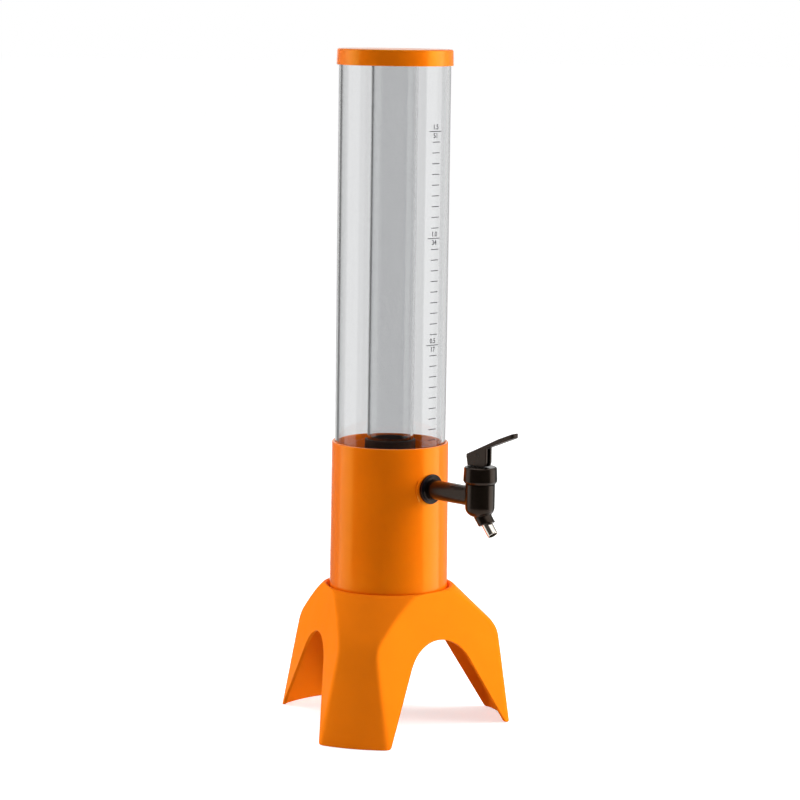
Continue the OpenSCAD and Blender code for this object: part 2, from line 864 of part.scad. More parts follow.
module lever_hub() {
    back_lean = 1.4;
    cam_end = lever_open + 1;
    cam_steps = 6;
    nose_z = cam_point(cam_end)[1] + 3.2;
    across_lever(hub_w)
        polygon(concat(
            [[-hub_back, bar_back_z - bar_t / 2], [-hub_back + back_lean, -cam_h]],
            [for (i = [0:cam_steps]) cam_point(cam_end * i / cam_steps)],
            [
                [hub_front, nose_z],
                [hub_front, bar_top_at(hub_front) - bar_drop / 2],
                [-hub_back, bar_top_at(-hub_back) - bar_drop / 4]
            ]
        ));
}

// Bent bar that widens into the paddle
module lever_bar() {
    plan_top = tip_z + paddle_t;
    front_z = bar_top_at(hub_front) - bar_drop;
    intersection() {
        across_lever(2 * paddle_w)
            polygon([
                [-hub_back, bar_back_z], [bend_reach, bend_z], [tip_reach, tip_z],
                [tip_reach + paddle_t * sin(paddle_angle), tip_z - paddle_t * cos(paddle_angle)],
                [bend_reach, bend_z - paddle_t / cos(bar_angle)],
                [hub_front, front_z], [-hub_back, bar_back_z - bar_drop]
            ]);
        translate([0, 0, -cam_h]) linear_extrude(plan_top + cam_h) lever_plan();
    }
}

// Plan of the bar, seen from above with the tip towards -Y
module lever_plan() {
    tip = tip_reach + paddle_t;
    w = paddle_w / 2;
    neck = hub_w / 2;
    polygon(concat(
        [[neck, hub_back], [-neck, hub_back], [-neck, -hub_front]],
        [[-w, -bend_reach]],
        arc(-w + paddle_corner, -tip_reach + paddle_corner, paddle_corner, 180, 270, 6),
        arc(w - paddle_corner, -tip_reach + paddle_corner, paddle_corner, 270, 360, 6),
        [[w, -bend_reach], [neck, -hub_front]]
    ));
}

// Slot for the stem's tongue, open below and in front
module lever_slot() {
    slot_top = bar_top_at(0) - bar_drop;
    across_lever(hub_slot)
        polygon([
            [-slot_back, -cam_h - cut], [slot_front, -cam_h - cut],
            [slot_front, bar_top_at(hub_front) - bar_drop],
            [0, slot_top], [-slot_back, slot_top]
        ]);
}

module lever_pin() {
    color("silver")
        at_tap() translate([-hub_w / 2, 0, pin_z])
            rotate([0, 90, 0]) cylinder(d = pin_d, h = hub_w);
}

module nozzle_tip() {
    bevel = 0.5;
    tip_in = tip_seat_d / 2 - tip_wall;
    color("gainsboro")
        at_tap() at_spout()
            rotate_extrude()
                polygon([
                    [tip_in, nozzle_start + run_gap], [tip_seat_d / 2, nozzle_start + run_gap],
                    [tip_seat_d / 2, spout_len], [tip_r, spout_len],
                    [tip_r, nozzle_end - bevel], [tip_r - bevel, nozzle_end],
                    [tip_in, nozzle_end]
                ]);
}

stand();
base_screws();
column_cup();
tube_gasket();
tank_tube();
lid();
ice_tube_grip_ring();
ice_tube();
ice_tube_gasket();
ice_tube_stopper();
tap_body();
dished_washer();
shank_gasket();
lock_nut();
tap_bonnet();
bonnet_gasket();
stem_ring();
valve_stem();
valve_seal();
return_spring();
tap_lever();
lever_pin();
nozzle_tip();
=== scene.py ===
"""Looks of the beer tower dispenser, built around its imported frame.

Lengths are in millimetres where nothing else is said, and go out in metres.
An outline for rounded() lists each corner as (x, y, rounding), and one for a
turned part as (r, z, rounding).
"""

import math

import bmesh
import bpy
import numpy as np
from mathutils import Matrix, Vector

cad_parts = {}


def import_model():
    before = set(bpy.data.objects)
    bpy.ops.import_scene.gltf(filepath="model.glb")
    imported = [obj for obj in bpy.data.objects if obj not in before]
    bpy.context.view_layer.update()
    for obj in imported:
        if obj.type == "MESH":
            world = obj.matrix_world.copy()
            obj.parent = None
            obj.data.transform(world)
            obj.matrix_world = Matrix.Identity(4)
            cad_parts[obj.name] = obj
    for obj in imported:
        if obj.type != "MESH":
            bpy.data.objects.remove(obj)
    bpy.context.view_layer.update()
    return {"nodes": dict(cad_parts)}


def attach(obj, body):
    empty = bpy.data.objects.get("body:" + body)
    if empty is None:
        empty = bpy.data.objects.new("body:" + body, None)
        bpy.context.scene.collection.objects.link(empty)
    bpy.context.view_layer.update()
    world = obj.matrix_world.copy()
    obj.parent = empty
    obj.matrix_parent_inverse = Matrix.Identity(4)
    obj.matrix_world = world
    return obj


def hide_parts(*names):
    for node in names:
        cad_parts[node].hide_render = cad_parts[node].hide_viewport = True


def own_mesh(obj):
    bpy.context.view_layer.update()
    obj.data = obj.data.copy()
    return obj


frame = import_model()

MM = 0.001

# ---------------------------------------------------------------- dimensions

# Stand: turned flank, knee and shoulder, cut by three leaning side faces
LEGS = (-60, 60, 180)
STAND_H, WALL = 127.5, 3.0
FLANK_R, FLANK_SLOPE = 112.7, 0.135
SHOULDER_R, SHOULDER_SLOPE = 59.4, 1.03
SIDE_D, SIDE_SLOPE = 81.3, 0.192
FLANK_T, SHOULDER_T, SIDE_T = (
    WALL * math.hypot(1, slope) for slope in (FLANK_SLOPE, SHOULDER_SLOPE, SIDE_SLOPE)
)

# The knee's arc, which touches the flank and the shoulder
KNEE_R = 28.0
KNEE_FLANK_R = FLANK_R - KNEE_R * math.hypot(1, FLANK_SLOPE)
KNEE_SHOULDER_R = SHOULDER_R + SHOULDER_SLOPE * STAND_H - KNEE_R * math.hypot(1, SHOULDER_SLOPE)
KNEE_CZ = (KNEE_SHOULDER_R - KNEE_FLANK_R) / (SHOULDER_SLOPE - FLANK_SLOPE)
KNEE_CR = KNEE_FLANK_R - FLANK_SLOPE * KNEE_CZ
KNEE_LOW = KNEE_CZ + KNEE_R * math.sin(math.atan(FLANK_SLOPE))
KNEE_HIGH = KNEE_CZ + KNEE_R * math.sin(math.atan(SHOULDER_SLOPE))

# Softness of the edges between the stand's faces, at the foot and from SOFT_H up
SOFT_FOOT, SOFT_TOP, SOFT_H = 3.4, 1.6, 110.0

ARCH_R, ARCH_CZ, ARCH_LEAN, FOOT_ROUND = 43.0, 42.0, 30, 4.0
OUTER_ROUND, INNER_ROUND, RIM_ROUND = 0.8, 0.35, 0.8
PLATE_LOW, PLATE_TOP, PLATE_R = 110.0, 113.0, 60.2
PLATE_MID_R, PLATE_HOLE, HOLE_ROUND = 45.0, 32.0, 0.4
RING_R, RECESS_R, CHAMFER_R, CHAMFER_Z = 57.2, 54.02, 56.4, 124.9
HOLLOW_TOP, HOLLOW_GAP, HOLLOW_RISE = 123.5, 0.6, 3.0
RIB_IN_R, RIB_LOW, RIB_TOP, RIB_T, RIB_SUNK = 55.0, 98.0, 122.5, 2.4, 0.8

# Rows up the stand's two skins, columns along its foot, and the columns' spread at the top
SKIN_ROWS, HOLLOW_ROWS, FOOT_COLUMNS, TOP_SPREAD = 62, 40, 16, 0.92

# Steps round a turned part, by its size, and the grids that soften the tap's parts
WIDE_STEPS, MIDDLE_STEPS, SMALL_STEPS, BOSS_STEPS = 256, 128, 96, 48
TAP_GRID, FINE_GRID = 0.34, 0.26

# Cup, with its floor, the step that carries the tube, the pad and the bosses
CUP_LOW, CUP_LOW_R, RIM_Z, RIM_R = 113.0, 53.667, 259.0, 52.75
CUP_IN, SOCKET_R = 49.75, 50.25
FLOOR_LOW, FLOOR_TOP = 197.0, 200.0
STEP_TOP, STEP_LOW, STEP_END = 241.0, 236.0, 233.25
PAD_R, PAD_IN_Y, PAD_T = 17.0, 46.0, 5.5
SCREW_R, BOSS_R, BOSS_TOP = 43.0, 4.55, 135.0
WEB_T, WEB_IN_Y, WEB_OUT_Y, WEB_GAP = 2.4, 44.0, 52.6, 0.05

# Tank tube, lid, ice tube and its stopper
TUBE_R, TUBE_IN, TUBE_LOW, TUBE_TOP = 50.0, 47.0, 243.0, 609.0
LID_TOP, LID_EDGE, LID_UNDER, LID_IN = 611.9, 597.5, 609.3, 50.35
LID_TOP_R, LID_EDGE_R = 51.8, 52.2
HOLDER_IN, HOLDER_R, HOLDER_LOW = 21.35, 25.05, 599.7
ICE_R, ICE_IN, ICE_LOW, ICE_TOP = 21.0, 19.0, 244.0, 609.0
CAP_R, CAP_IN, CAP_LOW, CAP_FLOOR, CAP_TOP = 22.95, 21.05, 240.0, 243.5, 261.5

# Tap: heights of the barrel count from the shank's axis
TAP_Y, TAP_Z = -113.4856, 221.5
CUT = 1.0
BARREL_R, BARREL_DROP, BARREL_ROUND, BARREL_TOP = 13.1, 17, 9, 12.5
NECK_R, NECK_TOP = 12, 23.3
CHAMBER_R, CHAMBER_DROP, SEAT_R, SEAT_T = 9.6, 9.5, 4, 2.2
SHANK_R, SHANK_STEP, SHANK_END_R, SHANK_END_Y, SHANK_BORE = 8.75, 60.49, 8.2, 34.0, 5
SPOUT_Z, SPOUT_LEAN, SPOUT_R, SPOUT_LEN, SPOUT_SLOPE = 209.8, 40.0, 7.4, 14.2, 0.3
SPOUT_BORE, SPOUT_SOCKET_R, SPOUT_SOCKET, SPOUT_PAST = 3.5, 4.8, 9.3, 20
BONNET_LOW, BONNET_TOP, BONNET_ROOF = 234.7, 249.3, 246.8
BONNET_IN, BONNET_LIP_R, BONNET_R, BONNET_TOP_R = 12.05, 13.65, 15.05, 14.5
LIP_H, STEM_HOLE = 2, 3.3
TIP_IN, TIP_ROOT_R, TIP_R = 3.95, 4.5, 4.75
TIP_LOW, TIP_STEP, TIP_BEVEL, TIP_END = 9.35, 11.5, 0.2, 25.7
SPRING_LOW, SPRING_HIGH, SPRING_R, WIRE_R, TURNS = 219.6, 245.75, 4.9, 0.5, 7

# Lever's paddle past its bend: reach and slope of the solid, and as drawn here
PADDLE_BEND = 24.5
SOLID_REACH, SOLID_SLOPE = 48.5, 19.6
DRAWN_REACH, DRAWN_SLOPE = 41.5, 21

# Printed scale: a tick each tenth of the way between two lines, with angles in degrees
PRINT_LOW, PRINT_HIGH, PRINT_H = TUBE_R + 0.02, TUBE_R + 0.09, 0.7
TICKS, TICK_LOW, TICK_STEP, TICK_AZ, TICK_WIDE = 30, 265.4, 9.49, 3.6, 11.0
LINES = ((540.5, "1.5", "51"), (446.0, "1.0", "34"), (350.7, "0.5", "17"))
LINE_AZ, LINE_WIDE, LINE_CLEAR = 2.4, 17.7, 4
DIGIT_H, DIGIT_BOLD, UPPER_GAP, LOWER_GAP = 6.0, 0.12, 3.7, 3.9


# ------------------------------------------------------------------ materials

WHITE = (1, 1, 1, 1)
MOTTLE_SCALE, GLOSS_SCALE, GLOSS_SPREAD, RELIEF_DEPTH = 28, 60, 0.15, 0.00005
# The clear parts' grey surface tint is painted shade, and their depth absorption also paints shade
# at the edges
ACRYLIC_PAINTED_SHADE, ACRYLIC_DEPTH_AND_PAINTED_EDGE_SHADE = (0.91, 0.913, 0.917, 1), (0.02, 0.04, 0.05, 1)
ACRYLIC_IOR, ACRYLIC_DENSITY, ACRYLIC_ROUGH = 1.49, 15.0, 0.03
ACRYLIC_WAVE, ACRYLIC_WAVE_DEPTH = 0.05, 0.0002
STREAK_SCALE, STREAK_STRETCH = 35, (1, 1, 0.1)
WAVE_SCALE, WAVE_STRETCH = 40, (1, 1, 0.04)


def fill(node, **values):
    """A node with inputs set, their names' spaces written as underscores."""
    for name, value in values.items():
        node.inputs[name.replace("_", " ")].default_value = value
    return node


def add_node(tree, kind, **values):
    """A new shader node with inputs set."""
    return fill(tree.nodes.new("ShaderNode" + kind), **values)


def node_tree(name):
    """A new material with its tree and its Principled node."""
    mat = bpy.data.materials.new(name)
    mat.use_nodes = True
    return mat, mat.node_tree, mat.node_tree.nodes["Principled BSDF"]


def noise(tree, scale, detail=4.0, stretch=(1, 1, 1)):
    """A noise texture in the piece's own coordinates, in metres."""
    coords = add_node(tree, "TexCoord")
    mapping = add_node(tree, "Mapping", Scale=stretch)
    texture = add_node(tree, "TexNoise", Scale=scale, Detail=detail)
    tree.links.new(coords.outputs["Object"], mapping.inputs["Vector"])
    tree.links.new(mapping.outputs["Vector"], texture.inputs["Vector"])
    return texture.outputs["Fac"]


def ranged(tree, value, low, high):
    """A texture's middle range spread from low to high."""
    span = add_node(tree, "MapRange", From_Min=0.3, From_Max=0.7, To_Min=low, To_Max=high)
    tree.links.new(value, span.inputs["Value"])
    return span.outputs["Result"]


def relief(tree, bsdf, height, strength, depth):
    """Ties a height to a material's normal."""
    bump = add_node(tree, "Bump", Strength=strength, Distance=depth)
    tree.links.new(height, bump.inputs["Height"])
    tree.links.new(bump.outputs["Normal"], bsdf.inputs["Normal"])


def larger(tree, first, second):
    """The larger one of two values."""
    node = add_node(tree, "Math")
    node.operation = "MAXIMUM"
    tree.links.new(first, node.inputs[0])
    tree.links.new(second, node.inputs[1])
    return node.outputs["Value"]


def mixed(tree, share, first, second):
    """The first shader, or the second one where the share is 1."""
    mix = add_node(tree, "MixShader")
    tree.links.new(share, mix.inputs["Fac"])
    tree.links.new(first, mix.inputs[1])
    tree.links.new(second, mix.inputs[2])
    return mix.outputs["Shader"]


def surface(name, colour, rough, mottle, bump, grain, metal=0.0, level=0.5, tint=None, ior=1.5):
    """A solid material: mottled colour, uneven gloss and a fine relief."""
    mat, tree, bsdf = node_tree(name)
    mix = tree.nodes.new("ShaderNodeMix")
    mix.data_type = "RGBA"
    mix.inputs["A"].default_value = [c * (1 - mottle) for c in colour] + [1]
    mix.inputs["B"].default_value = [min(c * (1 + mottle), 1) for c in colour] + [1]
    tree.links.new(ranged(tree, noise(tree, MOTTLE_SCALE, 3), 0, 1), mix.inputs["Factor"])
    tree.links.new(mix.outputs["Result"], bsdf.inputs["Base Color"])
    gloss = ranged(tree, noise(tree, GLOSS_SCALE, 5),
                   rough * (1 - GLOSS_SPREAD), rough * (1 + GLOSS_SPREAD))
    tree.links.new(gloss, bsdf.inputs["Roughness"])
    bsdf.inputs["Metallic"].default_value = metal
    bsdf.inputs["IOR"].default_value = ior
    bsdf.inputs["Specular IOR Level"].default_value = level
    if tint:
        bsdf.inputs["Specular Tint"].default_value = (*tint, 1)
    relief(tree, bsdf, noise(tree, grain, 3), bump, RELIEF_DEPTH)
    return mat


def clear(name):
    """Extruded acrylic: clear, faintly grey in its depth, light passes it. The grey tint at each
    surface is painted shade; the grey in its depth is partly the acrylic's own and partly painted
    shade that darkens the edges.
    """
    mat, tree, bsdf = node_tree(name)
    # Grey base colour: painted shade over the whole tube
    bsdf.inputs["Base Color"].default_value = ACRYLIC_PAINTED_SHADE
    bsdf.inputs["Transmission Weight"].default_value = 1.0
    bsdf.inputs["IOR"].default_value = ACRYLIC_IOR
    gloss = ranged(tree, noise(tree, STREAK_SCALE, 3, STREAK_STRETCH), 0.0, ACRYLIC_ROUGH)
    tree.links.new(gloss, bsdf.inputs["Roughness"])
    waves = noise(tree, WAVE_SCALE, 2, WAVE_STRETCH)
    relief(tree, bsdf, waves, ACRYLIC_WAVE, ACRYLIC_WAVE_DEPTH)
    path = add_node(tree, "LightPath")
    passed = larger(tree, path.outputs["Is Shadow Ray"], path.outputs["Is Diffuse Ray"])
    unseen = add_node(tree, "BsdfTransparent", Color=WHITE)
    # Depth absorption: partly the acrylic's own grey, partly painted shade at the tube's edges
    depth = add_node(tree, "VolumeAbsorption", Color=ACRYLIC_DEPTH_AND_PAINTED_EDGE_SHADE, Density=ACRYLIC_DENSITY)
    out = tree.nodes["Material Output"]
    shader = mixed(tree, passed, bsdf.outputs["BSDF"], unseen.outputs["BSDF"])
    tree.links.new(shader, out.inputs["Surface"])
    tree.links.new(depth.outputs["Volume"], out.inputs["Volume"])
    return mat


ORANGE, SATIN = (0.78, 0.145, 0.002), (0.82, 0.185, 0.005)
# The second tint warms the dark parts' gloss: a painted reflection of the orange parts
GLOW, WARM_PAINTED_REFLECTION = (1.0, 0.95, 0.02), (1.0, 0.74, 0.58)

# Name, colour, roughness, mottling, strength and scale of the relief
mat_cup = surface("orange_gloss", ORANGE, 0.16, 0.03, 0.05, 1500, level=0.7, tint=GLOW)
mat_lid = surface("orange_lid", ORANGE, 0.2, 0.03, 0.06, 1500, level=0.8, tint=GLOW)
mat_stand = surface("orange_satin", SATIN, 0.34, 0.03, 0.18, 2600, level=0.05, tint=GLOW,
                    ior=1.12)
mat_tube = clear("clear_acrylic")
mat_ice = clear("clear_acrylic_thin")
mat_black = surface("black_plastic", (0.0035, 0.0022, 0.0014), 0.22, 0.2, 0.25, 2200,
                    level=0.42, tint=WARM_PAINTED_REFLECTION)
mat_lever = surface("black_lever", (0.006, 0.0042, 0.003), 0.3, 0.2, 0.3, 2200,
                    level=0.4, tint=WARM_PAINTED_REFLECTION)
mat_grey = surface("grey_plastic", (0.16, 0.16, 0.16), 0.4, 0.06, 0.2, 1800)
mat_rubber = surface("black_rubber", (0.004, 0.004, 0.006), 0.18, 0.2, 0.15, 1600,
                     level=0.3, tint=WARM_PAINTED_REFLECTION)
mat_stopper = surface("stopper_rubber", (0.022, 0.009, 0.005), 0.5, 0.6, 0.5, 900,
                      level=0.1, tint=WARM_PAINTED_REFLECTION)
mat_seal = surface("grey_silicone", (0.42, 0.43, 0.44), 0.45, 0.05, 0.15, 1500)
mat_spring = surface("spring_steel", (0.55, 0.55, 0.57), 0.25, 0.06, 0.2, 3000, metal=1.0)
mat_pin = surface("dark_steel", (0.06, 0.055, 0.05), 0.4, 0.1, 0.2, 3000, metal=1.0)
mat_screw = surface("screw_steel", (0.62, 0.62, 0.63), 0.32, 0.06, 0.2, 2500, metal=1.0)
# The chrome's warm colour is a painted reflection of the orange parts
mat_chrome_painted_reflection = surface("chrome_metal", (0.86, 0.79, 0.7), 0.1, 0.03, 0.03, 2500, metal=1.0)
mat_print = surface("printed_ink", (0.03, 0.03, 0.035), 0.5, 0.25, 0.3, 4000, level=0.2)


# -------------------------------------------------------------- mesh helpers

def placed(name, data):
    """A new object in the scene."""
    obj = bpy.data.objects.new(name, data)
    bpy.context.scene.collection.objects.link(obj)
    return obj


def from_points(name, part):
    """A mesh in metres from points and faces in millimetres."""
    verts, faces = part
    mesh = bpy.data.meshes.new(name)
    mesh.from_pydata([tuple(c * MM for c in v) for v in verts], [], faces)
    return mesh


def evaluated(obj):
    """The mesh of an object after its modifiers."""
    graph = bpy.context.evaluated_depsgraph_get()
    return bpy.data.meshes.new_from_object(obj.evaluated_get(graph))


def closed(mesh, merge=1e-6, dissolve=False):
    """Merges a mesh's doubled points and turns its faces outward."""
    bm = bmesh.new()
    bm.from_mesh(mesh)
    bmesh.ops.remove_doubles(bm, verts=bm.verts, dist=merge)
    if dissolve:
        bmesh.ops.dissolve_degenerate(bm, edges=bm.edges, dist=merge)
    bmesh.ops.recalc_face_normals(bm, faces=bm.faces)
    bm.to_mesh(mesh)
    bm.free()


def piece(name, part, mat, body, *nodes, slot=None, sharp=38):
    """A piece from points in millimetres, which rides on a body."""
    obj = placed(name, from_points(name, part))
    return finished(obj, mat, body, *nodes, slot=slot, sharp=sharp)


def finished(obj, mat, body, *nodes, slot=None, sharp=38, merge=1e-6):
    """Closes and smooths an object, and ties it to a body and to the nodes it replaces."""
    mesh = obj.data
    closed(mesh, merge, dissolve=True)
    mesh.shade_smooth()
    mesh.set_sharp_from_angle(angle=math.radians(sharp))
    mesh.materials.clear()
    mesh.materials.append(mat)
    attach(obj, body)
    if nodes:
        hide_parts(*nodes)
    return obj


def ring(r, count):
    """Points (x, y) evenly round a circle."""
    angles = [2 * math.pi * k / count for k in range(count)]
    return [(r * math.cos(a), r * math.sin(a)) for a in angles]


def rounded(points, steps=5):
    """An outline whose corners (x, y, radius) are turned into arcs."""
    out = []
    for i, (x, y, radius) in enumerate(points):
        if radius <= 0:
            out.append((x, y))
            continue
        corner = Vector((x, y))
        before = (Vector(points[i - 1][:2]) - corner).normalized()
        after = (Vector(points[(i + 1) % len(points)][:2]) - corner).normalized()
        half = before.angle(after) / 2
        centre = corner + (before + after).normalized() * radius / math.sin(half)
        reach = radius / math.tan(half)
        first = corner + before * reach - centre
        last = corner + after * reach - centre
        start = math.atan2(first.y, first.x)
        turn = (math.atan2(last.y, last.x) - start + math.pi) % (2 * math.pi) - math.pi
        for k in range(steps + 1):
            a = start + turn * k / steps
            out.append((centre.x + radius * math.cos(a), centre.y + radius * math.sin(a)))
    return out


def held(outline, gap=0.15):
    """The outline with points near the ends of each straight, which keep its shading flat."""
    out = []
    for (x, y), (to_x, to_y) in zip(outline, outline[1:] + outline[:1]):
        out.append((x, y))
        length = math.hypot(to_x - x, to_y - y)
        if length > 6 * gap:
            for d in (gap / length, 1 - gap / length):
                out.append((x + (to_x - x) * d, y + (to_y - y) * d))
    return out


def turned(profile, segments=192):
    """Points and faces of an outline of (r, z) turned about +Z."""
    verts, rows = [], []
    for r, z in held(list(profile)):
        start = len(verts)
        if r < 1e-6:
            verts.append((0, 0, z))
            rows.append([start] * segments)
            continue
        verts += [(x, y, z) for x, y in ring(r, segments)]
        rows.append(list(range(start, start + segments)))
    faces = []
    for low, high in zip(rows, rows[1:] + rows[:1]):
        if low[0] == low[1] and high[0] == high[1]:
            continue
        for k in range(segments):
            j = (k + 1) % segments
            faces.append(list(dict.fromkeys([low[k], low[j], high[j], high[k]])))
    return verts, faces


def prism(outline, low, high, top_slope=0.0):
    """An upright prism over an outline of (x, y), its upper end sloped along Y."""
    n = len(outline)
    verts = [(x, y, low) for x, y in outline] + [(x, y, high + top_slope * y) for x, y in outline]
    faces = [list(range(n))[::-1], list(range(n, 2 * n))]
    faces += [[i, (i + 1) % n, n + (i + 1) % n, n + i] for i in range(n)]
    return verts, faces


def rod(r, low, high, top_slope=0.0):
    """A round rod along +Z, its upper end sloped along Y."""
    return prism(ring(r, SMALL_STEPS), low, high, top_slope)


def joined(*parts):
    """Several closed meshes as one list of points and faces."""
    verts, faces = [], []
    for v, f in parts:
        shift = len(verts)
        verts += list(v)
        faces += [[i + shift for i in face] for face in f]
    return verts, faces


def moved(part, matrix):
    """A part that a matrix has moved."""
    verts, faces = part
    return [tuple(matrix @ Vector(v)) for v in verts], faces


def about_z(degrees):
    """A turn about +Z."""
    return Matrix.Rotation(math.radians(degrees), 4, "Z")


# --------------------------------------------------------------------- stand

def smooth_min(a, b, k):
    """The smaller value, blended over a range of k."""
    h = np.clip(0.5 + 0.5 * (b - a) / k, 0, 1)
    return b + (a - b) * h - k * h * (1 - h)


def turned_r(z, inner):
    """Radius of the turned outline, or of the wall's inner side."""
    flank = FLANK_R - (FLANK_T if inner else 0) - FLANK_SLOPE * z
    shoulder = SHOULDER_R - (SHOULDER_T if inner else 0) + SHOULDER_SLOPE * (STAND_H - z)
    radius = KNEE_R - (WALL if inner else 0)
    knee = KNEE_CR + np.sqrt(np.maximum(radius ** 2 - (z - KNEE_CZ) ** 2, 0))
    low = KNEE_CZ + (KNEE_LOW - KNEE_CZ) * radius / KNEE_R
    high = KNEE_CZ + (KNEE_HIGH - KNEE_CZ) * radius / KNEE_R
    return np.where(z < low, flank, np.where(z > high, shoulder, knee))


def form_r(phi, z, inner=False):
    """Radius of the stand at an angle from a side face's middle."""
    side = (SIDE_D - (SIDE_T if inner else 0) - SIDE_SLOPE * z) / np.cos(phi)
    soft = SOFT_FOOT + (SOFT_TOP - SOFT_FOOT) * np.clip(z / SOFT_H, 0, 1)
    return smooth_min(turned_r(z, inner), side, soft)


def arch_path():
    """The arch's half outline (x, z), from its top to the foot's middle."""
    lean = math.radians(ARCH_LEAN)
    tx, tz = ARCH_R * math.cos(lean), ARCH_CZ + ARCH_R * math.sin(lean)
    corner = tx + (FOOT_ROUND - (FOOT_ROUND - tz) * math.sin(lean)) / math.cos(lean)
    end = (corner - FOOT_ROUND * math.cos(lean), FOOT_ROUND - FOOT_ROUND * math.sin(lean))
    path = []
    for a in np.radians(np.linspace(90, ARCH_LEAN, 34)):
        path.append((ARCH_R * math.cos(a), ARCH_CZ + ARCH_R * math.sin(a)))
    for f in np.linspace(0, 1, 30)[1:]:
        path.append((tx + (end[0] - tx) * f, tz + (end[1] - tz) * f))
    for a in np.radians(np.linspace(180 + ARCH_LEAN, 270, 9))[1:]:
        path.append((corner + FOOT_ROUND * math.cos(a), FOOT_ROUND * (1 + math.sin(a))))
    return np.array(path)


def edge_angles(path, inner):
    """Angles at which the arch's outline meets the stand's skin."""
    x, z = path[:, 0], path[:, 1]
    phi = np.arctan2(x, SIDE_D - SIDE_SLOPE * z)
    for _ in range(30):
        phi = np.arcsin(np.clip(x / form_r(phi, z, inner), -1, 1))
    return phi


def unit(v):
    """Vectors brought to a length of 1."""
    return v / np.maximum(np.linalg.norm(v, axis=-1, keepdims=True), 1e-9)


def polar(phi, z, r):
    """Points at angles from a side face's middle."""
    return np.stack([r * np.sin(phi), -r * np.cos(phi), z], -1)


def skin_rows(low_phi, top_phi, low_z, top_z, inner, count):
    """Rows of points up a skin, from the arch's edge to its upper end."""
    rows = []
    for u in np.linspace(0, 1, count + 1):
        phi, z = low_phi + (top_phi - low_phi) * u, low_z + (top_z - low_z) * u
        rows.append(polar(phi, z, form_r(phi, z, inner)))
    return np.array(rows)


def edge_rows(low, upward, across, size, count):
    """Rows round an edge, from the skin to the cut through the wall."""
    return [low + size * (upward * (1 - math.sin(a)) + across * (1 - math.cos(a)))
            for a in np.radians(np.linspace(0, 90, count))]


def clear_of_edge(rows, low, upward, size):
    """A skin's rows above its lowest one, kept clear of the rounded edge."""
    out = []
    for i, row in enumerate(rows[1:], 1):
        far = np.linalg.norm(row - low, axis=1) > 1.6 * size
        out.append(np.where(far[:, None], row, low + upward * size * (1 + 0.2 * i)))
    return out


def stand_columns():
    """A grid of points, one column for each place along a half side."""
    path = arch_path()
    leg = math.pi / 3
    low_z = np.concatenate([path[:, 1], np.zeros(FOOT_COLUMNS)])
    outer_phi, inner_phi = (
        np.concatenate([edge, np.linspace(edge[-1], leg, FOOT_COLUMNS + 1)[1:]])
        for edge in (edge_angles(path, False), edge_angles(path, True))
    )
    outer_low = polar(outer_phi, low_z, form_r(outer_phi, low_z))
    inner_low = polar(inner_phi, low_z, form_r(inner_phi, low_z, True))
    steps = np.linalg.norm(np.diff(outer_low, axis=0), axis=1)
    along = np.concatenate([[0], np.cumsum(steps)]) / steps.sum()
    top_phi = leg * along ** TOP_SPREAD

    # outer skin up to the rim's rounding, and the hollow's roof over the inner skin
    rim_r = form_r(top_phi, np.full_like(top_phi, STAND_H))
    rim_round = np.minimum(RIM_ROUND, 0.42 * (rim_r - CHAMFER_R))
    outer = skin_rows(outer_phi, top_phi, low_z, STAND_H - rim_round, False, SKIN_ROWS)
    free = form_r(top_phi, np.full_like(top_phi, PLATE_TOP), True)
    pocket = np.clip((free - PLATE_R - HOLLOW_GAP) / HOLLOW_RISE, 0, 1)
    pocket = pocket * pocket * (3 - 2 * pocket)
    roof = PLATE_LOW + (HOLLOW_TOP - PLATE_LOW) * pocket
    inner = skin_rows(inner_phi, top_phi, low_z, roof, True, HOLLOW_ROWS)

    # down the outer skin, round the cut through the wall and up the inner skin
    across = unit(inner_low - outer_low)
    outer_up, inner_up = unit(outer[1] - outer_low), unit(inner[1] - inner_low)
    loop = clear_of_edge(outer, outer_low, outer_up, OUTER_ROUND)[::-1]
    loop += edge_rows(outer_low, outer_up, across, OUTER_ROUND, 6)
    loop += edge_rows(inner_low, inner_up, -across, INNER_ROUND, 4)[::-1]
    loop += clear_of_edge(inner, inner_low, inner_up, INNER_ROUND)

    # roof, ring, plate, recess, chamfer and rim, as circles about the axis
    plate_r = np.minimum(PLATE_R, form_r(top_phi, np.full_like(top_phi, PLATE_LOW), True))
    ring_r = plate_r + (np.minimum(RING_R, plate_r) - plate_r) * np.minimum(1, 3 * pocket)
    plate_up = PLATE_LOW + (PLATE_TOP - PLATE_LOW) * pocket
    circles = [
        (ring_r, roof), (ring_r, plate_up), (plate_r, plate_up),
        (plate_r, PLATE_LOW), (PLATE_MID_R, PLATE_LOW), (PLATE_HOLE + HOLE_ROUND, PLATE_LOW),
        (PLATE_HOLE, PLATE_LOW + HOLE_ROUND), (PLATE_HOLE, PLATE_TOP - HOLE_ROUND),
        (PLATE_HOLE + HOLE_ROUND, PLATE_TOP), (RECESS_R, PLATE_TOP),
        (RECESS_R, CHAMFER_Z - 0.2), (RECESS_R + 0.15, CHAMFER_Z + 0.15),
        (CHAMFER_R - 0.2, STAND_H - 0.22), (CHAMFER_R, STAND_H),
    ]
    for a in np.radians([0, 22.5, 45, 67.5]):
        circles.append((rim_r - rim_round * (1 - math.sin(a)),
                        STAND_H - rim_round * (1 - math.cos(a))))
    for r, z in circles:
        r, z = (np.broadcast_to(v, top_phi.shape).astype(float) for v in (r, z))
        loop.append(polar(top_phi, z, r))
    return np.array(loop)                                   # rows, columns, xyz


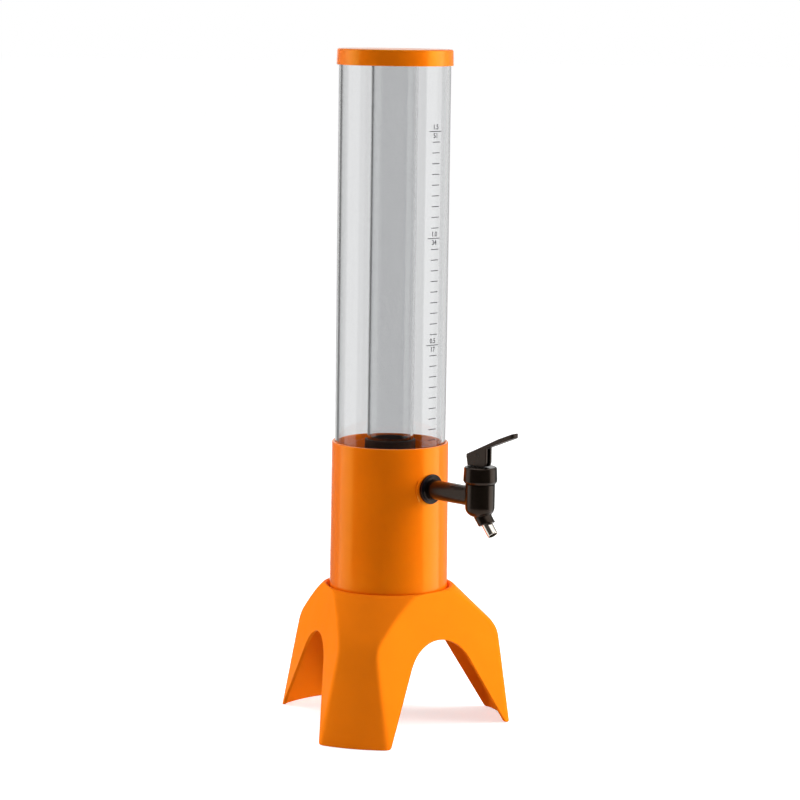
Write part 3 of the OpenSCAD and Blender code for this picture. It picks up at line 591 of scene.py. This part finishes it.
def stand_mesh():
    """The half side's grid, mirrored and turned to all three sides."""
    grid = stand_columns()
    rows, cols, _ = grid.shape
    verts, faces = [], []
    for side in range(3):
        for mirror in (1, -1):
            turn = math.radians(120 * side)
            x, y, z = grid[..., 0] * mirror, grid[..., 1], grid[..., 2]
            turned_x = x * math.cos(turn) - y * math.sin(turn)
            turned_y = x * math.sin(turn) + y * math.cos(turn)
            shift = len(verts)
            verts += [tuple(v) for v in np.stack([turned_x, turned_y, z], -1).reshape(-1, 3)]
            for i in range(rows):
                n = (i + 1) % rows
                for j in range(cols - 1):
                    quad = [i * cols + j, i * cols + j + 1, n * cols + j + 1, n * cols + j]
                    faces.append([shift + q for q in (quad if mirror > 0 else quad[::-1])])
    return verts, faces


def rib(azimuth):
    """A rib under one shoulder, its outline in the upright plane."""
    outline = [(RIB_IN_R, RIB_LOW)]
    for z in np.linspace(RIB_LOW, RIB_TOP, 8):
        outline.append((float(turned_r(z, True)) + RIB_SUNK, float(z)))
    outline.append((RIB_IN_R, RIB_TOP))
    n = len(outline)
    verts = [(s * RIB_T / 2, -r, z) for s in (-1, 1) for r, z in outline]
    faces = [list(range(n)), list(range(n, 2 * n))[::-1]]
    faces += [[i, n + i, n + (i + 1) % n, (i + 1) % n] for i in range(n)]
    return moved((verts, faces), about_z(azimuth))


piece("stand_shell", joined(stand_mesh(), *[rib(leg) for leg in LEGS]), mat_stand, "tower",
      "stand", slot="orange_plastic", sharp=35)


# ----------------------------------------------------------------- cup and lid

def cup_mesh():
    """The turned cup, the pad behind the tap, and the screw bosses with their webs."""
    shell = turned(rounded([
        (0, FLOOR_LOW, 0), (CUP_IN, FLOOR_LOW, 1.0), (CUP_IN, CUP_LOW, 0.6),
        (CUP_LOW_R, CUP_LOW, 0.5), (RIM_R, RIM_Z, 0.8), (SOCKET_R, RIM_Z, 0.5),
        (SOCKET_R, STEP_TOP, 0), (TUBE_IN, STEP_TOP, 0.3), (TUBE_IN, STEP_LOW, 0.6),
        (CUP_IN, STEP_END, 0.8), (CUP_IN, FLOOR_TOP, 1.2), (0, FLOOR_TOP, 0),
    ]), WIDE_STEPS)
    pad = turned(rounded([(0, 0, 0), (PAD_R, 0, 0.6), (PAD_R, PAD_T, 0), (0, PAD_T, 0)]),
                 SMALL_STEPS)
    outward = Matrix.Translation((0, -PAD_IN_Y, TAP_Z)) @ Matrix.Rotation(math.pi / 2, 4, "X")
    boss = turned(rounded([
        (0, CUP_LOW, 0), (BOSS_R, CUP_LOW, 0.3), (BOSS_R, BOSS_TOP, 0.4), (0, BOSS_TOP, 0),
    ]), BOSS_STEPS)
    half = WEB_T / 2
    web = prism([(-half, -WEB_OUT_Y), (half, -WEB_OUT_Y), (half, -WEB_IN_Y), (-half, -WEB_IN_Y)],
                CUP_LOW + WEB_GAP, BOSS_TOP - WEB_GAP)
    parts = [shell, moved(pad, outward)]
    for leg in LEGS:
        parts.append(moved(boss, about_z(leg) @ Matrix.Translation((0, -SCREW_R, 0))))
        parts.append(moved(web, about_z(leg)))
    return joined(*parts)


def tube(r, bore, low, top):
    """A tube with slightly rounded ends."""
    return turned(rounded([(bore, low, 0.3), (r, low, 0.3), (r, top, 0.3), (bore, top, 0.3)], 3),
                  WIDE_STEPS)


piece("cup_shell", cup_mesh(), mat_cup, "tower", "column_cup", slot="orange_plastic")

lid_outline = rounded([
    (0, LID_UNDER, 0), (HOLDER_IN, LID_UNDER, 0), (HOLDER_IN, HOLDER_LOW, 0.4),
    (HOLDER_R, HOLDER_LOW, 0.5), (HOLDER_R, LID_UNDER, 0.8), (LID_IN, LID_UNDER, 0.8),
    (LID_IN, LID_EDGE, 0.4), (LID_EDGE_R, LID_EDGE, 0.5), (LID_TOP_R, LID_TOP, 1.7),
    (0, LID_TOP, 0),
], 7)
piece("lid_cap", turned(lid_outline, WIDE_STEPS), mat_lid, "lid_unit", "lid", slot="orange_plastic")

piece("tank_cylinder", tube(TUBE_R, TUBE_IN, TUBE_LOW, TUBE_TOP), mat_tube, "tower",
      "tank_tube", slot="clear_plastic")
piece("ice_cylinder", tube(ICE_R, ICE_IN, ICE_LOW, ICE_TOP), mat_ice, "ice_tube_unit",
      "ice_tube", slot="clear_plastic")

cap_outline = rounded([
    (0, CAP_LOW, 0), (CAP_R, CAP_LOW, 0.9), (CAP_R, CAP_TOP, 0.9), (CAP_IN, CAP_TOP, 0.3),
    (CAP_IN, CAP_FLOOR, 0), (0, CAP_FLOOR, 0),
])
piece("stopper_cap", turned(cap_outline), mat_stopper, "ice_tube_unit", "ice_tube_stopper",
      slot="black_rubber")


# ----------------------------------------------------------------------- tap

def bare(name, mesh):
    """An object round a mesh, made closed and with its faces outward."""
    closed(mesh)
    return placed(name, mesh)


def carved(base, added, cuts):
    """The mesh of a base with parts added to it and others cut from it."""
    body = bare("body", from_points("part", base))
    tools = []
    for kind, parts in (("UNION", added), ("DIFFERENCE", cuts)):
        for part in parts:
            tools.append(bare("tool", from_points("part", part)))
            change = body.modifiers.new(kind, "BOOLEAN")
            change.operation = kind
            change.solver = "EXACT"
            change.object = tools[-1]
    mesh = evaluated(body)
    for obj in (body, *tools):
        bpy.data.objects.remove(obj)
    return mesh


def softened(name, mesh, node, voxel, rounds, mat, body, slot):
    """A mesh, remeshed finely and with its edges softened, as a piece."""
    obj = bare(name, mesh)
    change = obj.modifiers.new("grid", "REMESH")
    change.mode = "VOXEL"
    change.voxel_size = voxel * MM
    soften = obj.modifiers.new("soften", "SMOOTH")
    soften.factor = 0.5
    soften.iterations = rounds
    done = evaluated(obj)
    obj.modifiers.clear()
    obj.data = done
    return finished(obj, mat, body, node, slot=slot, sharp=60, merge=1e-7)


def tap_mesh():
    """Barrel with a round lower end, shank and a spout whose end lies nearly level."""
    axis = Matrix.Translation((0, TAP_Y, TAP_Z))
    shank = axis @ Matrix.Rotation(-math.pi / 2, 4, "X")
    shank_len = -TAP_Y - SHANK_END_Y
    barrel = turned(rounded([
        (0, -BARREL_DROP, 0), (BARREL_R, -BARREL_DROP, BARREL_ROUND),
        (BARREL_R, BARREL_TOP, 0.4), (NECK_R, BARREL_TOP, 0), (NECK_R, NECK_TOP, 0.3),
        (0, NECK_TOP, 0),
    ], 9), SMALL_STEPS)
    added = [
        moved(rod(SHANK_R, 0, SHANK_STEP), shank), moved(rod(SHANK_END_R, 0, shank_len), shank),
        moved(rod(SPOUT_R, 0, SPOUT_LEN, SPOUT_SLOPE), spout),
    ]
    cuts = [
        moved(rod(CHAMBER_R, -CHAMBER_DROP, NECK_TOP + CUT), axis),
        moved(rod(SHANK_BORE, 0, shank_len + CUT), shank),
        moved(rod(SEAT_R, -CHAMBER_DROP - SEAT_T, CUT - CHAMBER_DROP), axis),
        moved(rod(SPOUT_BORE, -CUT, SPOUT_PAST), spout),
        moved(rod(SPOUT_SOCKET_R, SPOUT_SOCKET, SPOUT_PAST), spout),
    ]
    return carved(moved(barrel, axis), added, cuts)


def lever_mesh():
    """The lever's solid, its paddle brought to the photographed reach and slope."""
    mesh = frame["nodes"]["tap_lever"].data.copy()
    shorter = (DRAWN_REACH - PADDLE_BEND) / (SOLID_REACH - PADDLE_BEND)
    old, new = math.tan(math.radians(SOLID_SLOPE)), math.tan(math.radians(DRAWN_SLOPE))
    for v in mesh.vertices:
        past = TAP_Y - v.co.y / MM - PADDLE_BEND
        if past > 0:
            kept = past * shorter
            v.co.y += (past - kept) * MM
            v.co.z += (kept * new - past * old) * MM
    return mesh


def helix():
    """The return spring's wire, a round section led up its turns."""
    per_turn, sides = 48, 12
    count = TURNS * per_turn
    verts, faces = [], []
    for i in range(count + 1):
        a = 2 * math.pi * i / per_turn
        z = SPRING_LOW + (SPRING_HIGH - SPRING_LOW) * i / count
        for across, up in ring(WIRE_R, sides):
            r = SPRING_R + across
            verts.append((r * math.cos(a), r * math.sin(a) + TAP_Y, z + up))
    for i in range(count):
        for k in range(sides):
            j = (k + 1) % sides
            faces.append([i * sides + k, i * sides + j, (i + 1) * sides + j, (i + 1) * sides + k])
    faces.append(list(range(sides))[::-1])
    faces.append(list(range(count * sides, (count + 1) * sides)))
    return verts, faces


upright = Matrix.Translation((0, TAP_Y, 0))
spout = (Matrix.Translation((0, TAP_Y, SPOUT_Z))
         @ Matrix.Rotation(math.radians(180 - SPOUT_LEAN), 4, "X"))
softened("tap_barrel", tap_mesh(), "tap_body", TAP_GRID, 8, mat_black, "tower", "black_plastic")
softened("lever_arm", lever_mesh(), "tap_lever", FINE_GRID, 5, mat_lever, "lever_unit",
         "black_plastic")
softened("washer_dish", frame["nodes"]["dished_washer"].data.copy(), "dished_washer",
         FINE_GRID, 4, mat_rubber, "tower", "black_rubber")

bonnet_outline = rounded([
    (BONNET_IN, BONNET_LOW, 0.2), (BONNET_LIP_R, BONNET_LOW, 0.3),
    (BONNET_R, BONNET_LOW + LIP_H, 0.6), (BONNET_TOP_R, BONNET_TOP, 1.6),
    (STEM_HOLE, BONNET_TOP, 0.3), (STEM_HOLE, BONNET_ROOF, 0), (BONNET_IN, BONNET_ROOF, 0),
])
piece("bonnet_cap", moved(turned(bonnet_outline, MIDDLE_STEPS), upright), mat_black, "tower",
      "tap_bonnet", slot="black_plastic")

tip_outline = rounded([
    (TIP_IN, TIP_LOW, 0), (TIP_ROOT_R, TIP_LOW, 0.2), (TIP_ROOT_R, TIP_STEP, 0),
    (TIP_R, TIP_STEP + TIP_BEVEL, 0), (TIP_R, TIP_END, 0.5), (TIP_IN, TIP_END, 0.25),
])
piece("nozzle_sleeve", moved(turned(tip_outline, MIDDLE_STEPS), spout), mat_chrome_painted_reflection, "tower",
      "nozzle_tip", slot="chrome_metal")

spring = piece("valve_spring", helix(), mat_spring, "tower", "return_spring",
               slot="spring_steel")
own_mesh(spring)


# ------------------------------------------------------------- printed scale

def on_tube(r, degrees, along, z):
    """A point at a radius, an angle and a distance along the print, and a height."""
    a = math.radians(degrees) + along / TUBE_R
    return r * math.sin(a), -r * math.cos(a), z


def wrapped(wide, centre, z):
    """A thin bar printed round the tube, over angles in degrees."""
    count = 10
    verts, faces = [], []
    for i in range(count + 1):
        degrees = centre + wide * (i / count - 0.5)
        for r, side in ((PRINT_LOW, -1), (PRINT_HIGH, -1), (PRINT_HIGH, 1), (PRINT_LOW, 1)):
            verts.append(on_tube(r, degrees, 0, z + side * PRINT_H / 2))
    for i in range(count):
        for k in range(4):
            j = (k + 1) % 4
            faces.append([4 * i + k, 4 * i + j, 4 * i + 4 + j, 4 * i + 4 + k])
    faces += [[0, 1, 2, 3], [4 * count + k for k in (3, 2, 1, 0)]]
    return verts, faces


def number(text, centre, z):
    """A plain number printed on the tube, centred at an angle and height."""
    curve = bpy.data.curves.new("digits", "FONT")
    curve.body = text
    curve.size = DIGIT_H
    curve.align_x = "CENTER"
    curve.align_y = "CENTER"
    curve.extrude = 0.5
    curve.offset = DIGIT_BOLD
    holder = placed("digits", curve)
    mesh = evaluated(holder)
    verts = [on_tube(PRINT_HIGH if v.co.z > 0 else PRINT_LOW, centre, v.co.x, z + v.co.y)
             for v in mesh.vertices]
    faces = [list(p.vertices) for p in mesh.polygons]
    bpy.data.objects.remove(holder)
    return verts, faces


def scale_marks():
    """Ticks clear of the lines, then each line with the numbers above and below it."""
    marks = []
    for step in range(TICKS):
        z = TICK_LOW + TICK_STEP * step
        if min(abs(z - line) for line, _, _ in LINES) > LINE_CLEAR:
            marks.append(wrapped(TICK_WIDE, TICK_AZ, z))
    for line, upper, lower in LINES:
        marks.append(wrapped(LINE_WIDE, LINE_AZ, line))
        marks.append(number(upper, LINE_AZ, line + UPPER_GAP))
        marks.append(number(lower, LINE_AZ, line - LOWER_GAP))
    return joined(*marks)


piece("scale_print", scale_marks(), mat_print, "tower", slot="grey_plastic", sharp=30)


# ----------------------------------------------------- materials of CAD nodes

for node, mat in {
    "base_screws": mat_screw, "tube_gasket": mat_seal, "ice_tube_grip_ring": mat_rubber,
    "ice_tube_gasket": mat_seal, "shank_gasket": mat_seal, "lock_nut": mat_black,
    "bonnet_gasket": mat_seal, "stem_ring": mat_rubber, "valve_stem": mat_grey,
    "valve_seal": mat_rubber, "lever_pin": mat_pin,
}.items():
    for held_slot in frame["nodes"][node].material_slots:
        held_slot.material = mat


# -------------------------------------------------- camera, lights and stage

# Lengths are in metres from here on, and azimuths in degrees from the camera's side
CAM_AZ, CAM_Y, CAM_Z = -44.68, -2.59488, 0.65302
CAM_PITCH, CAM_ROLL, CAM_YAW, CAM_LENS = 7.825, 0.789, 0.186, 130.26
BOX_Z, BOX_TALL, BOX_AIM_Z = 0.55, 1.5, 0.35
AMBIENT, SUN_LEVEL, SUN_ANGLE = 0.3, 0.8, 70
FLOOR_R, FLOOR_Z, FLOOR_COLOUR, FLOOR_GLOW = 30.0, -0.0002, (0.8, 0.8, 0.8, 1), 0.56
CARD_R, CARD_H, CARD_Z = 3.4, 4.0, 0.004


def camera():
    """The photograph's camera, found by a fit."""
    data = bpy.data.cameras.new("camera")
    data.sensor_fit = "HORIZONTAL"
    data.sensor_width = 36.0
    data.lens = CAM_LENS
    data.clip_start, data.clip_end = 0.05, 60.0
    cam = placed("camera", data)
    pitch, roll, yaw = (math.radians(a) for a in (CAM_PITCH, CAM_ROLL, CAM_YAW))
    forward = Vector((
        math.sin(yaw) * math.cos(pitch), math.cos(yaw) * math.cos(pitch), -math.sin(pitch),
    ))
    right = forward.cross(Vector((0, 0, 1))).normalized()
    up = right.cross(forward)
    right, up = (
        right * math.cos(roll) + up * math.sin(roll),
        up * math.cos(roll) - right * math.sin(roll),
    )
    turn = about_z(CAM_AZ).to_3x3()
    axes = Matrix((turn @ right, turn @ up, turn @ -forward)).transposed().to_4x4()
    cam.matrix_world = Matrix.Translation(turn @ Vector((0, CAM_Y, CAM_Z))) @ axes
    bpy.context.scene.camera = cam


def soft_box(name, azimuth, distance, width, radiance):
    """A panel lamp that faces the tower, and that gloss and clear parts don't show."""
    data = bpy.data.lights.new(name, "AREA")
    data.shape = "RECTANGLE"
    data.size, data.size_y = width, BOX_TALL
    data.energy = radiance * math.pi * width * BOX_TALL
    lamp = placed(name, data)
    a = math.radians(CAM_AZ + azimuth)
    spot = Vector((distance * math.sin(a), -distance * math.cos(a), BOX_Z))
    facing = (Vector((0, 0, BOX_AIM_Z)) - spot).to_track_quat("-Z", "Y").to_matrix().to_4x4()
    lamp.matrix_world = Matrix.Translation(spot) @ facing
    lamp.visible_camera = False
    lamp.visible_glossy = False
    lamp.visible_transmission = False


def overhead():
    """Wide light from above."""
    data = bpy.data.lights.new("overhead", "SUN")
    data.energy = SUN_LEVEL
    data.angle = math.radians(SUN_ANGLE)
    placed("overhead", data)


def world():
    """A dim surround for matt surfaces, seen as white by the camera, gloss and clear parts."""
    made = bpy.data.worlds.new("studio")
    bpy.context.scene.world = made
    made.use_nodes = True
    tree = made.node_tree
    tree.nodes.clear()
    path = add_node(tree, "LightPath")
    seen = larger(tree, path.outputs["Is Camera Ray"], path.outputs["Is Glossy Ray"])
    seen = larger(tree, seen, path.outputs["Is Transmission Ray"])
    dim = add_node(tree, "Background", Color=WHITE, Strength=AMBIENT)
    white = add_node(tree, "Background", Color=WHITE, Strength=1.0)
    shader = mixed(tree, seen, dim.outputs["Background"], white.outputs["Background"])
    out = add_node(tree, "OutputWorld")
    tree.links.new(shader, out.inputs["Surface"])


def floor():
    """A pale round floor, which keeps the tower's soft shadow."""
    mesh = bpy.data.meshes.new("studio_floor")
    edge = ring(FLOOR_R, 96)
    mesh.from_pydata([(x, y, 0) for x, y in edge], [], [list(range(len(edge)))])
    obj = placed("studio_floor", mesh)
    obj.location.z = FLOOR_Z
    mat, tree, bsdf = node_tree("studio_floor")
    tree.nodes.remove(bsdf)
    path = add_node(tree, "LightPath")
    diffuse = add_node(tree, "BsdfDiffuse", Color=FLOOR_COLOUR)
    glow = add_node(tree, "Emission", Color=WHITE)
    level = add_node(tree, "Math")
    level.operation = "MULTIPLY"
    level.inputs[1].default_value = FLOOR_GLOW
    tree.links.new(path.outputs["Is Camera Ray"], level.inputs[0])
    tree.links.new(level.outputs["Value"], glow.inputs["Strength"])
    both = add_node(tree, "AddShader")
    tree.links.new(diffuse.outputs["BSDF"], both.inputs[0])
    tree.links.new(glow.outputs["Emission"], both.inputs[1])
    white = add_node(tree, "Emission", Color=WHITE, Strength=1.0)
    shader = mixed(tree, path.outputs["Is Transmission Ray"], both.outputs["Shader"],
                   white.outputs["Emission"])
    tree.links.new(shader, tree.nodes["Material Output"].inputs["Surface"])
    mesh.materials.append(mat)


def white_unmirrored(tree, shade, strength):
    """Makes a card white straight through the clear parts, and keeps it dark once mirrored."""
    path = add_node(tree, "LightPath")
    plain = add_node(tree, "Math")
    plain.operation = "LESS_THAN"
    plain.inputs[1].default_value = 0.5
    tree.links.new(path.outputs["Glossy Depth"], plain.inputs[0])
    level = add_node(tree, "MapRange", To_Min=strength, To_Max=1.0)
    tree.links.new(plain.outputs["Value"], level.inputs["Value"])
    tree.links.new(level.outputs["Result"], shade.inputs["Strength"])


def card(name, first, last, near, strength, clear_too=False, mirrored=False):
    """A side of the studio between two azimuths, seen in gloss and, if asked, in clear parts."""
    count = 24
    verts = []
    for i in range(count + 1):
        a = math.radians(CAM_AZ + first + (last - first) * i / count)
        for r, z in ((near, CARD_Z), (CARD_R, CARD_Z), (CARD_R, CARD_H)):
            verts.append((r * math.sin(a), -r * math.cos(a), z))
    faces = [[3 * i + k, 3 * i + 3 + k, 3 * i + 4 + k, 3 * i + 1 + k]
             for i in range(count) for k in (0, 1)]
    mesh = bpy.data.meshes.new(name)
    mesh.from_pydata(verts, [], faces)
    obj = placed(name, mesh)
    mat, tree, bsdf = node_tree(name)
    tree.nodes.remove(bsdf)
    shade = add_node(tree, "Emission", Color=WHITE, Strength=strength)
    tree.links.new(shade.outputs["Emission"], tree.nodes["Material Output"].inputs["Surface"])
    if mirrored:
        white_unmirrored(tree, shade, strength)
    mesh.materials.append(mat)
    obj.visible_camera = False
    obj.visible_diffuse = False
    obj.visible_transmission = clear_too
    obj.visible_volume_scatter = False
    obj.visible_shadow = False


camera()
world()
floor()
card("card_front", -76, 69, 0.7, 0.05, clear_too=True, mirrored=True)
card("card_right", 69, 112, 0.45, 1.7)
card("card_left", -112, -76, 0.45, 1.0)
card("card_behind_right", 112, 172, 0.45, 0.3)
card("card_behind_left", -156, -112, 0.45, 0.22, clear_too=True)
soft_box("box_right", 93, 1.7, 1.35, 10.0)
soft_box("box_left", -103, 1.8, 1.4, 5.8)
overhead()
bpy.context.scene.view_settings.view_transform = "Standard"
